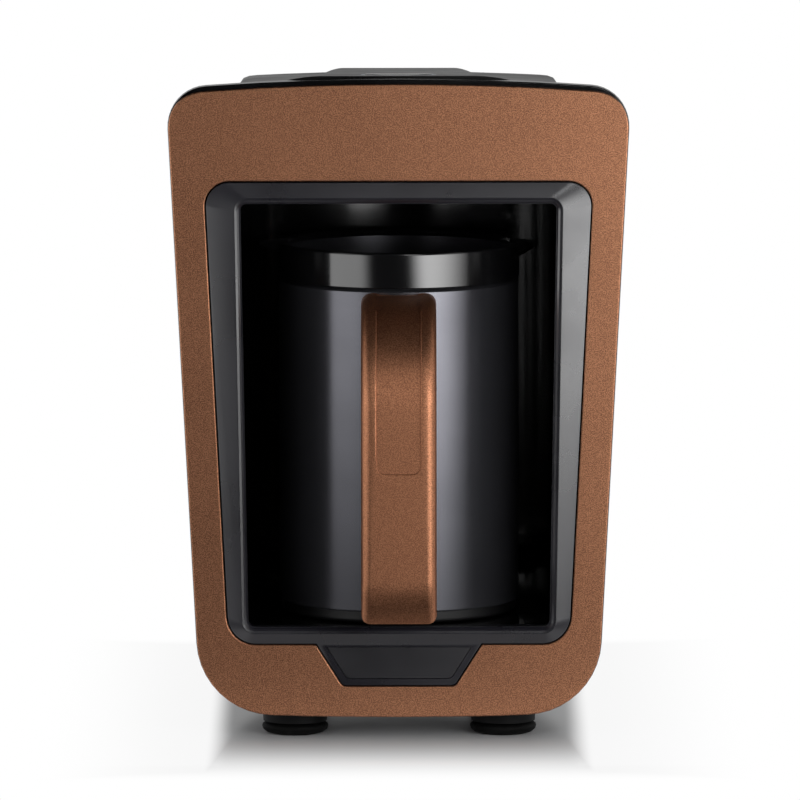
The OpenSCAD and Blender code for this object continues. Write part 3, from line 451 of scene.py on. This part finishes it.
@dataclass(frozen=True)
class BareMetal(Finish):
    """Plain turned, cast or drawn metal, darker in the hollows of its grain."""

    roughness: float = 0.3
    grain: float = 0.0006
    dark: float = 0.8
    change: Pair = (-0.06, 0.1)
    relief: float = 0.1
    height: float = 0.0001

    def build(self) -> bpy.types.Material:
        """Makes the metal with a fine grain in gloss, colour and height.

        Returns:
            The material.
        """
        g = Graph(self.name)
        grain = g.noise(self.grain, detail=3, rough=0.6)
        colour = g.mix(grain.spread(0, 1), scaled(self.colour, self.dark), self.colour)
        return g.dress(base_color=colour, metallic=1.0,
                       roughness=grain.spread(*around(self.roughness, self.change)),
                       normal=g.bump(grain, self.relief, self.height))


@dataclass(frozen=True)
class Rubber(Finish):
    """Dull rubber with a dusty grain.

    dust is the size of the dusty places and dust_range the noise over which they set in, and
    dust_gain and dust_lift make the colour of the dust from the rubber's.
    """

    grain: float = 0.0005
    dust: float = 0.006
    dust_range: Pair = (0.4, 0.75)
    dust_gain: float = 2.0
    dust_lift: float = 0.001
    roughness: Pair = (0.55, 0.75)
    relief: float = 0.3
    height: float = 0.0001
    shine: float = 0.06

    def build(self) -> bpy.types.Material:
        """Makes the rubber, a little lighter where it is dusty.

        Returns:
            The material.
        """
        g = Graph(self.name)
        grain = g.noise(self.grain, detail=3, rough=0.7)
        dust = g.noise(self.dust, detail=3).ramp(*self.dust_range, 0, 1)
        dusty = scaled(self.colour, self.dust_gain, self.dust_lift)
        return g.dress(base_color=g.mix(dust, self.colour, dusty),
                       roughness=grain.spread(*self.roughness),
                       normal=g.bump(grain, self.relief, self.height),
                       specular_ior_level=self.shine)


@dataclass(frozen=True)
class CircuitBoard(Finish):
    """Board with tracks under a green mask.

    cells is how many cells of its pattern lie along a metre, disorder how uneven they are, and
    track_range the distances from their borders over which the tracks end. track_gain and
    track_lift make the colour over the tracks from the mask's.
    """

    roughness: float = 0.35
    cells: float = 260.0
    disorder: float = 0.55
    track_range: Pair = (0.06, 0.1)
    track_gain: float = 1.7
    track_lift: float = 0.01
    relief: float = 0.3
    height: float = 0.0001
    coat: float = 0.3

    def build(self) -> bpy.types.Material:
        """Makes the board: tracks along the borders of its cells, slightly raised.

        Returns:
            The material.
        """
        g = Graph(self.name)
        cells = g.node("ShaderNodeTexVoronoi", {"feature": "DISTANCE_TO_EDGE"},
                       {"Vector": g.place(), "Scale": self.cells, "Randomness": self.disorder})
        track = 1 - Wire(g, cells.outputs["Distance"]).ramp(*self.track_range, 0, 1)
        raised = scaled(self.colour, self.track_gain, self.track_lift)
        return g.dress(base_color=g.mix(track, self.colour, raised),
                       roughness=self.roughness, normal=g.bump(track, self.relief, self.height),
                       coat_weight=self.coat)


@dataclass(frozen=True)
class LightGuide(Finish):
    """Milky translucent plastic. cloud is the size of its clouds, and milk how milky it is."""

    roughness: Pair = (0.2, 0.3)
    cloud: float = 0.004
    dark: float = 0.85
    milk: float = 0.3

    def build(self) -> bpy.types.Material:
        """Makes the plastic with a faint cloud in it.

        Returns:
            The material.
        """
        g = Graph(self.name)
        cloud = g.noise(self.cloud)
        return g.dress(base_color=g.mix(cloud, scaled(self.colour, self.dark), self.colour),
                       roughness=cloud.spread(*self.roughness), subsurface_weight=self.milk)


COPPER = MetallicPaint("copper_paint", linear(191, 134, 101), deep=linear(98, 67, 50),
                       roughness=0.41)
GRIP_COPPER = MetallicPaint("grip_copper", linear(183, 127, 95), deep=linear(120, 80, 59),
                            roughness=0.45)
GLOSS_BLACK = Moulded("gloss_black", linear(12, 12, 13), roughness=0.14, coat=0.2)
SATIN_BLACK = Moulded("satin_black", linear(24, 23, 29), roughness=0.28, depth=0.1, shine=0.66)
# the top cover's black plastic, darker than the shell's: part of that darkness is painted shade
# for the console's dim front face
TOP_BLACK_AND_PAINTED_SHADE = Moulded("top_black_and_painted_shade", linear(15, 15, 16), roughness=0.3, shine=0.3)
LINER_BLACK = Moulded("liner_black", linear(8, 8, 9), roughness=0.14, coat=1.0, shine=0.6)
SHELL_BLACK = Moulded("shell_black", linear(26, 26, 28), roughness=0.3, depth=0.12)
BASE_BLACK = Moulded("base_black", linear(9, 9, 10), roughness=0.6, depth=0.3, shine=0.12)
MATTE_BLACK = Moulded("matte_black", linear(12, 12, 13), roughness=0.5, depth=0.3, shine=0.3)
PLATE_GREY = Moulded("plate_grey", linear(26, 25, 29), roughness=0.42, depth=0.15, shine=0.4)
JUG_STEEL = CoatedSteel("jug_steel", linear(82, 82, 87), roughness=0.25)
# near-black rubber: the feet's own black, darkened further as painted shade for the shadow under
# the base; the cord gland shares it
RUBBER_AND_PAINTED_SHADE = Rubber("soft_rubber_and_painted_shade", linear(7, 7, 7))
STEEL = BareMetal("drawn_steel", linear(190, 190, 192))
ALUMINIUM = BareMetal("cast_aluminium", linear(205, 207, 210), roughness=0.4)
BRASS = BareMetal("rolled_brass", linear(205, 170, 95), roughness=0.25)
BOARD = CircuitBoard("board_green", linear(28, 90, 48))
LENS = Moulded("red_lens", linear(58, 16, 16), roughness=0.08, coat=0.5)
GUIDE = LightGuide("milky_guide", linear(215, 222, 228))
COMPONENT = Moulded("component_black", linear(36, 36, 38), roughness=0.5, depth=0.3)
WINDING = Moulded("winding_tape", linear(190, 160, 70), roughness=0.45, depth=0.2)
WHITE_CASE = Moulded("white_case", linear(222, 222, 220), roughness=0.4)
RED_CASE = Moulded("red_case", linear(150, 40, 32), roughness=0.3)
CABLE = Moulded("flat_lead", linear(180, 180, 182), roughness=0.5)
CERAMIC = Moulded("glazed_ceramic", linear(222, 216, 200), roughness=0.6, depth=0.3)

NODE_FINISH: dict[str, Finish] = {
    "front_panel": COPPER, "front_frame": GLOSS_BLACK, "alcove_bezel": SATIN_BLACK,
    "badge_plate": PLATE_GREY, "alcove_liner": LINER_BLACK, "body_shell": SHELL_BLACK,
    "top_cover": TOP_BLACK_AND_PAINTED_SHADE, "base_plate": BASE_BLACK, "rear_cover": SHELL_BLACK,
    "cord_gland": RUBBER_AND_PAINTED_SHADE, "foot_front_left": RUBBER_AND_PAINTED_SHADE, "foot_front_right": RUBBER_AND_PAINTED_SHADE,
    "foot_rear_left": RUBBER_AND_PAINTED_SHADE, "foot_rear_right": RUBBER_AND_PAINTED_SHADE, "base_screws": STEEL,
    "rear_screws": STEEL, "light_ring": GUIDE, "start_button": GLOSS_BLACK,
    "button_spring": STEEL, "button_clip": STEEL, "control_board": BOARD,
    "start_switch": COMPONENT, "buzzer": COMPONENT, "board_screws": STEEL,
    "foam_sensor_lens": LENS, "foam_sensor": BOARD, "power_board": BOARD,
    "transformer": WINDING, "relay": WHITE_CASE, "capacitor": RED_CASE,
    "ribbon_cable": CABLE, "base_connector": MATTE_BLACK, "contact_blades": BRASS,
    "jug_body": JUG_STEEL, "jug_collar": GLOSS_BLACK, "jug_base": MATTE_BLACK,
    "heater_plate": ALUMINIUM, "heating_element": STEEL, "thermostat": CERAMIC,
    "jug_socket": MATTE_BLACK, "jug_base_screws": STEEL, "handle_core": MATTE_BLACK,
    "handle_cover": GRIP_COPPER, "handle_screws": STEEL,
}


# ---------------------------------------------------------------- shapes


class Shape(Protocol):
    """A change of form that the merged copy of a solid gets before its edges are rounded."""

    def build(self, piece: bpy.types.Object) -> None:
        """Changes the copy, which is the active object."""


@dataclass
class PanelShape:
    """The copper panel with fuller upper corners than its solid's, so that they hide more frame.

    corner is the middle of the right corner's change, from the side and from below, reach is how
    far it spreads, and push how far it goes outwards and upwards in the middle.
    """

    corner: Pair = (0.0792, 0.2311)
    reach: float = 0.0125
    push: float = 0.00055

    def build(self, piece: bpy.types.Object) -> None:
        """Fills out the two corners.

        Args:
            piece: the copy of the panel.
        """
        for side in (-1, 1):
            corner = Vector((side * self.corner[0], 0, self.corner[1]))
            for vertex in piece.data.vertices:
                away = (Vector((vertex.co.x, 0, vertex.co.z)) - corner).length / self.reach
                if away < 1:
                    vertex.co += Vector((side, 0, 1)) * self.push * (1 - away * away) ** 2


@dataclass
class CoverShape:
    """The grip's copper cover, with rounder long sides and a soft rim to its thumb inset.

    half_width and solid_round are the solid's, and new_round is the round that its sides get
    between the two heights in ends. slack is how far inside the round a point still counts, and
    side_share and outer_share are how much of a normal has to point outwards on the sides and on
    the rim. bend_axis is the axis of the bend, from front to back and in height. inset_half and
    inset_ends bound the inset, rim is the round of its rim and rim_angle the least angle of an
    edge there. end is where the inset's upper end starts, and end_drop how far that end goes down.
    """

    half_width: float = 0.01355
    solid_round: float = 0.0028
    new_round: float = 0.0035
    slack: float = 0.00002
    side_share: float = 0.02
    bend_axis: Pair = (-0.066, 0.1242)
    ends: Pair = (0.0502, 0.1585)
    inset_half: float = 0.00795
    inset_ends: Pair = (0.1014, 0.1585)
    rim: float = 0.0005
    rim_steps: int = 4
    rim_angle: float = 50.0
    outer_share: float = 0.9
    end: Pair = (-0.0628, 0.162)
    end_drop: float = 0.00055

    def outward(self, point: Vector) -> Vector:
        """The way out of the grip's front.

        Args:
            point: a point of the grip.

        Returns:
            The direction there, which doesn't lean to either side.
        """
        back, up = point.y - self.bend_axis[0], point.z - self.bend_axis[1]
        if up <= 0:
            return Vector((0, -1, 0))
        return Vector((0, 0, 1)) if back >= 0 else Vector((0, back, up)).normalized()

    def round_sides(self, piece: bpy.types.Object) -> None:
        """Moves the rounded sides of the outer face on to a larger round.

        Args:
            piece: the copy of the cover.
        """
        grown = self.new_round - self.solid_round
        start = self.half_width - self.solid_round
        for vertex in piece.data.vertices:
            out = self.outward(vertex.co)
            side = abs(vertex.co.x)
            between = self.ends[0] < vertex.co.z < self.ends[1]
            outer = vertex.normal.dot(out) >= self.side_share
            if side < start - self.slack or not between or not outer:
                continue
            share = min(1.0, max(0.0, (side - start) / self.solid_round))
            vertex.co -= out * grown * (1 - math.sqrt(1 - share * share))
            vertex.co.x -= math.copysign(grown * (1 - share), vertex.co.x)

    def sharp_in_inset(self, edge: bmesh.types.BMEdge) -> bool:
        """Whether an edge is one of the inset's raised sharp edges.

        Args:
            edge: an edge of the cover.

        Returns:
            True if it is.
        """
        low, high = self.inset_ends
        inside = all(abs(v.co.x) < self.inset_half and low < v.co.z < high for v in edge.verts)
        return inside and edge.calc_face_angle_signed(0.0) > math.radians(self.rim_angle)

    def soften_inset(self, piece: bpy.types.Object) -> None:
        """Rounds the outer rim of the thumb inset.

        Args:
            piece: the copy of the cover.
        """
        mesh = bmesh.new()
        mesh.from_mesh(piece.data)
        for part in (*mesh.faces, *mesh.verts, *mesh.edges):
            part.select = False
        for edge in mesh.edges:
            if self.sharp_in_inset(edge):
                out = self.outward(edge.verts[0].co)
                edge.select = any(f.normal.dot(out) > self.outer_share for f in edge.link_faces)
        log.info("softened %d edges of the inset", sum(edge.select for edge in mesh.edges))
        mesh.to_mesh(piece.data)
        mesh.free()
        bpy.ops.object.mode_set(mode="EDIT")
        bpy.ops.mesh.select_mode(type="EDGE")
        bpy.ops.mesh.bevel(offset=self.rim, segments=self.rim_steps, affect="EDGES",
                           clamp_overlap=True)
        bpy.ops.object.mode_set(mode="OBJECT")

    def level_end(self, piece: bpy.types.Object) -> None:
        """Lowers the sliver at the inset's end, beside the jug's wall, to the inset's floor.

        Args:
            piece: the copy of the cover.
        """
        for vertex in piece.data.vertices:
            x, y, z = vertex.co
            if abs(x) < self.inset_half and y > self.end[0] and z > self.end[1]:
                vertex.co.z -= self.end_drop

    def build(self, piece: bpy.types.Object) -> None:
        """Rounds the sides, softens the inset and levels its end.

        Args:
            piece: the copy of the cover.
        """
        self.round_sides(piece)
        self.soften_inset(piece)
        self.level_end(piece)


# ---------------------------------------------------------------- pieces


class Body(Enum):
    """The moving bodies that pieces ride on."""

    HOUSING = "housing"
    JUG = "jug"
    BUTTON = "button"


@dataclass(frozen=True)
class Redraw:
    """How the copy of a solid is finished.

    edge is the width of its rounded edges, sharp the angle from which an edge counts as one, and
    flat the angle up to which neighbouring faces are joined. At zero, edge or flat does nothing.
    shape is a change of its form that comes before its edges.
    """

    edge: float
    body: Body = Body.HOUSING
    sharp: float = 30.0
    flat: float = 0.5
    shape: Shape | None = None


@dataclass
class RefinedParts:
    """Visible mouldings, redrawn from their solids with joined faces and rounded edges."""

    nodes: dict[str, bpy.types.Object]
    edge_steps: int = 3
    redraws: dict[str, Redraw] = field(default_factory=lambda: {
        "alcove_bezel": Redraw(0.0, flat=0.0),
        "front_panel": Redraw(0.0005, shape=PanelShape()),
        "front_frame": Redraw(0.0005),
        "top_cover": Redraw(0.0003),
        "badge_plate": Redraw(0.0002),
        "alcove_liner": Redraw(0.0004),
        "jug_collar": Redraw(0.0004, Body.JUG),
        "jug_body": Redraw(0.0002, Body.JUG),
        "jug_base": Redraw(0.0004, Body.JUG),
        "handle_core": Redraw(0.0006, Body.JUG),
        "handle_cover": Redraw(0.0, Body.JUG, flat=0.0, shape=CoverShape()),
        "light_ring": Redraw(0.0002),
        "start_button": Redraw(0.0004, Body.BUTTON),
    })

    def build(self) -> None:
        """Redraws every part in the list."""
        for name, how in self.redraws.items():
            piece = self.redraw(name, how)
            log.info("redrew %s with %d faces", name, len(piece.data.polygons))

    def copy(self, name: str) -> bpy.types.Object:
        """Copies a solid into a piece of its own.

        Args:
            name: the CAD node.

        Returns:
            The piece, which is the active object and the only one selected.
        """
        piece = bpy.data.objects.new(f"{name}_shape", self.nodes[name].data.copy())
        bpy.context.scene.collection.objects.link(piece)
        bpy.ops.object.select_all(action="DESELECT")
        piece.select_set(True)
        bpy.context.view_layer.objects.active = piece
        return piece

    def merge(self, flat: float) -> None:
        """Merges the active piece's loose triangles.

        Args:
            flat: the angle up to which neighbouring faces are joined, or zero.
        """
        bpy.ops.mesh.customdata_custom_splitnormals_clear()
        bpy.ops.object.mode_set(mode="EDIT")
        bpy.ops.mesh.select_all(action="SELECT")
        bpy.ops.mesh.remove_doubles(threshold=MERGE)
        if flat:
            bpy.ops.mesh.dissolve_limited(angle_limit=math.radians(flat))
        bpy.ops.object.mode_set(mode="OBJECT")

    def smooth(self, piece: bpy.types.Object, how: Redraw) -> None:
        """Rounds the edges of a piece and smooths its curves.

        Args:
            piece: the piece, which is the active object.
            how: its edges and shading.
        """
        if how.edge:
            soft = piece.modifiers.new("soft", "BEVEL")
            soft.width = how.edge
            soft.segments = self.edge_steps
            soft.limit_method = "ANGLE"
            soft.angle_limit = math.radians(how.sharp)
            bpy.ops.object.modifier_apply(modifier="soft")
        bpy.ops.object.shade_smooth_by_angle(angle=math.radians(how.sharp))
        even = piece.modifiers.new("even", "WEIGHTED_NORMAL")
        even.keep_sharp = True
        bpy.ops.object.modifier_apply(modifier="even")

    def redraw(self, name: str, how: Redraw) -> bpy.types.Object:
        """Makes the finished copy of one solid.

        Args:
            name: the CAD node that it stands for.
            how: its form, edges and shading.

        Returns:
            The piece, dressed and riding on its body.
        """
        piece = self.copy(name)
        self.merge(how.flat)
        if how.shape:
            how.shape.build(piece)
        self.smooth(piece, how)
        piece.data.materials.clear()
        piece.data.materials.append(NODE_FINISH[name].material())
        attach(piece, how.body.value)
        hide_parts(name)
        piece.select_set(False)
        return piece


@dataclass
class CarriedParts:
    """The CAD nodes, which keep their shapes and get their finish, with their points merged."""

    nodes: dict[str, bpy.types.Object]
    finishes: dict[str, Finish] = field(default_factory=lambda: dict(NODE_FINISH))

    def dress(self) -> None:
        """Gives every node its finish."""
        for name, finish in self.finishes.items():
            node = self.nodes[name]
            node.data.materials.clear()
            node.data.materials.append(finish.material())
            weld = node.modifiers.new("weld", "WELD")
            weld.merge_threshold = MERGE
            log.info("carried over %s in %s", name, finish.name)


# ---------------------------------------------------------------- studio


def plane(name: str, size: float, at: Sequence[float]) -> bpy.types.Object:
    """Adds a level square to the studio.

    Args:
        name: its name.
        size: its width.
        at: its middle.

    Returns:
        The square, which is the active object.
    """
    bpy.ops.mesh.primitive_plane_add(size=size, location=at)
    made = bpy.context.object
    made.name = name
    return made


@dataclass(frozen=True)
class SoftBox:
    """An upright lamp that faces the object and isn't seen by the camera.

    turn is its bearing, 0 in front of the object and 90 on its right, and reach its distance, both
    from a point on the object's middle line, which is at middle from front to back. size is its
    width and height, and low the height of its lower edge. glow is its brightness in its middle,
    where 1 is as bright as white. left, right and ends are the shares of its half width and half
    height over which it fades, as seen from in front of the object.
    """

    name: str
    turn: float
    reach: float
    size: Pair
    low: float
    glow: float
    left: float
    right: float
    ends: float
    middle: float = -0.05

    def fall(self, place: Wire, fade: float) -> Wire:
        """The share of light at a place, which falls to nothing over the fade at the edge."""
        return place.ramp(PLANE_EDGE * (1 - fade), PLANE_EDGE, 1, 0)

    def build(self) -> None:
        """Stands the lamp in its place."""
        bearing = math.radians(self.turn)
        width, tall = self.size
        made = plane(self.name, 1, (self.reach * math.sin(bearing),
                                    self.middle - self.reach * math.cos(bearing),
                                    self.low + tall / 2))
        made.rotation_euler = (math.radians(90), 0, bearing + math.pi)
        made.scale = (width, tall, 1)
        g = Graph(self.name)
        across, up = g.axes()
        shine = (self.fall(across, self.left) * self.fall(0 - across, self.right)
                 * self.fall(abs(up), self.ends))
        behind = Wire(g, g.node("ShaderNodeNewGeometry").outputs["Backfacing"])
        g.put(g.output.inputs["Surface"], g.glow(shine * (1 - behind) * self.glow))
        made.data.materials.append(g.material)
        made.visible_camera = False


@dataclass(frozen=True)
class Card:
    """A card that only shows in reflections, black or as bright as glow.

    at is its middle, size its width and height, and face the direction that it faces.
    """

    name: str
    at: Sequence[float]
    size: Pair
    face: Sequence[float]
    glow: float = 0.0
    black: Colour = (0.002, 0.002, 0.002)

    def build(self) -> None:
        """Hangs the card in its place."""
        made = plane(self.name, 1, self.at)
        made.scale = (*self.size, 1)
        made.rotation_euler = Vector(self.face).to_track_quat("Z", "Y").to_euler()
        g = Graph(self.name)
        made.data.materials.append(g.dress(
            base_color=self.black, roughness=1.0, specular_ior_level=0.0,
            emission_color=WHITE, emission_strength=self.glow))
        made.visible_camera = made.visible_diffuse = made.visible_shadow = False
        made.visible_transmission = False


@dataclass(frozen=True)
class WhiteTable:
    """The glossy white table, lit and shaded near the object and plain white away from it.

    It turns white between two distances from the object's middle: near_side and then far_side on
    both sides, where each brings its share of the white, front before it and back behind it.
    """

    width: float = 30.0
    colour: Colour = (0.78, 0.78, 0.79)
    roughness: float = 0.12
    near_side: Pair = (0.060, 0.070)
    near_share: float = 0.9
    far_side: Pair = (0.070, 0.130)
    far_share: float = 0.1
    front: Pair = (0.056, 0.166)
    back: Pair = (-0.2, -0.1)

    def whiteness(self, g: Graph) -> Wire:
        """How plain white the table is.

        Args:
            g: the table's material.

        Returns:
            A share from 0 beside the object to 1 away from it.
        """
        x, y = g.axes()
        across, ahead = abs(x), 0 - y
        beside = (across.ramp(*self.near_side, 0, self.near_share)
                  + across.ramp(*self.far_side, 0, self.far_share))
        return beside.most(ahead.ramp(*self.front, 0, 1)).most(ahead.ramp(*self.back, 1, 0))

    def build(self) -> None:
        """Lays the table."""
        made = plane("floor", self.width, (0, 0, 0))
        g = Graph("white_table")
        g.dress(base_color=self.colour, roughness=self.roughness)
        lit = g.shader.outputs[0]
        faded = g.node("ShaderNodeMixShader", None,
                       {0: self.whiteness(g), 1: lit, 2: g.glow(1.0)})
        pick = g.node("ShaderNodeMixShader", None, {0: g.seen(), 1: lit, 2: faded.outputs[0]})
        g.put(g.output.inputs["Surface"], pick.outputs[0])
        made.data.materials.append(g.material)


LAMPS = (
    SoftBox("right_box", turn=42, reach=0.75, size=(1.0, 0.5), low=-0.1, glow=9.4,
            left=0.62, right=1.3, ends=0.7),
    SoftBox("left_box", turn=-55, reach=0.85, size=(1.0, 0.5), low=-0.1, glow=3.6,
            left=0.2, right=0.5, ends=0.6),
    SoftBox("high_box", turn=15, reach=1.0, size=(0.38, 0.22), low=0.57, glow=9.5,
            left=0.35, right=0.5, ends=0.5),
)

CARDS = (
    Card("front_card", at=(0, -3.4, 1.2), size=(5.0, 3.4), face=(0, 1, 0)),
    Card("gap_card", at=(-0.145, -0.95, 0.3), size=(0.55, 0.6), face=(0, 1, 0)),
    Card("table_card", at=(0, -0.57, 0.0015), size=(1.4, 0.9), face=(0, 0, 1)),
    Card("top_card", at=(0, 0.6, 2.0), size=(4.0, 6.0), face=(0, 0, -1)),
    Card("back_card", at=(0, 3.6, 1.0), size=(6.0, 2.0), face=(0, -1, 0), glow=0.4),
)


@dataclass
class Studio:
    """Camera, room, lamps, cards and table.

    aside, distance and height are the camera's place, pitch is how far it looks down, roll how far
    it is turned round its own axis, and sight how far it sees. lens and sensor are in millimetres,
    as on a camera. room_light is the strength of the room's even light.
    """

    aside: float = 0.00045
    distance: float = 4.567
    height: float = 0.6686
    pitch: float = 6.9
    roll: float = -0.07
    lens: float = 565.0
    sensor: float = 36.0
    sight: float = 60.0
    room_light: float = 0.3

    def camera(self) -> None:
        """Makes the camera that looks down on the front from far away."""
        data = bpy.data.cameras.new("camera")
        data.lens = self.lens
        data.sensor_width = self.sensor
        data.clip_end = self.sight
        made = bpy.data.objects.new("camera", data)
        bpy.context.scene.collection.objects.link(made)
        made.matrix_world = (
            Matrix.Translation((self.aside, -self.distance, self.height))
            @ Matrix.Rotation(math.radians(90 - self.pitch), 4, "X")
            @ Matrix.Rotation(math.radians(self.roll), 4, "Z"))
        bpy.context.scene.camera = made

    def room(self) -> None:
        """Makes the room, which gives an even light and is plain white where it is seen."""
        world = bpy.data.worlds.new("room")
        world.use_nodes = True
        bpy.context.scene.world = world
        nodes = Nodes(world.node_tree)
        even, white = (nodes.node("ShaderNodeBackground", None,
                                  {"Color": WHITE, "Strength": strength})
                       for strength in (self.room_light, 1.0))
        mix = nodes.node("ShaderNodeMixShader", None,
                         {0: nodes.seen(), 1: even.outputs[0], 2: white.outputs[0]})
        nodes.node("ShaderNodeOutputWorld", None, {"Surface": mix.outputs[0]})

    def build(self) -> None:
        """Sets up the whole studio."""
        self.camera()
        self.room()
        for part in (*LAMPS, *CARDS, WhiteTable()):
            part.build()
        bpy.context.scene.view_settings.view_transform = "Standard"


def main() -> None:
    """Builds the scene in order."""
    logging.basicConfig(level=logging.INFO, format="%(message)s")
    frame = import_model()
    bpy.ops.object.select_all(action="DESELECT")
    Studio().build()
    CarriedParts(frame["nodes"]).dress()
    RefinedParts(frame["nodes"]).build()


if __name__ == "__main__":
    main()
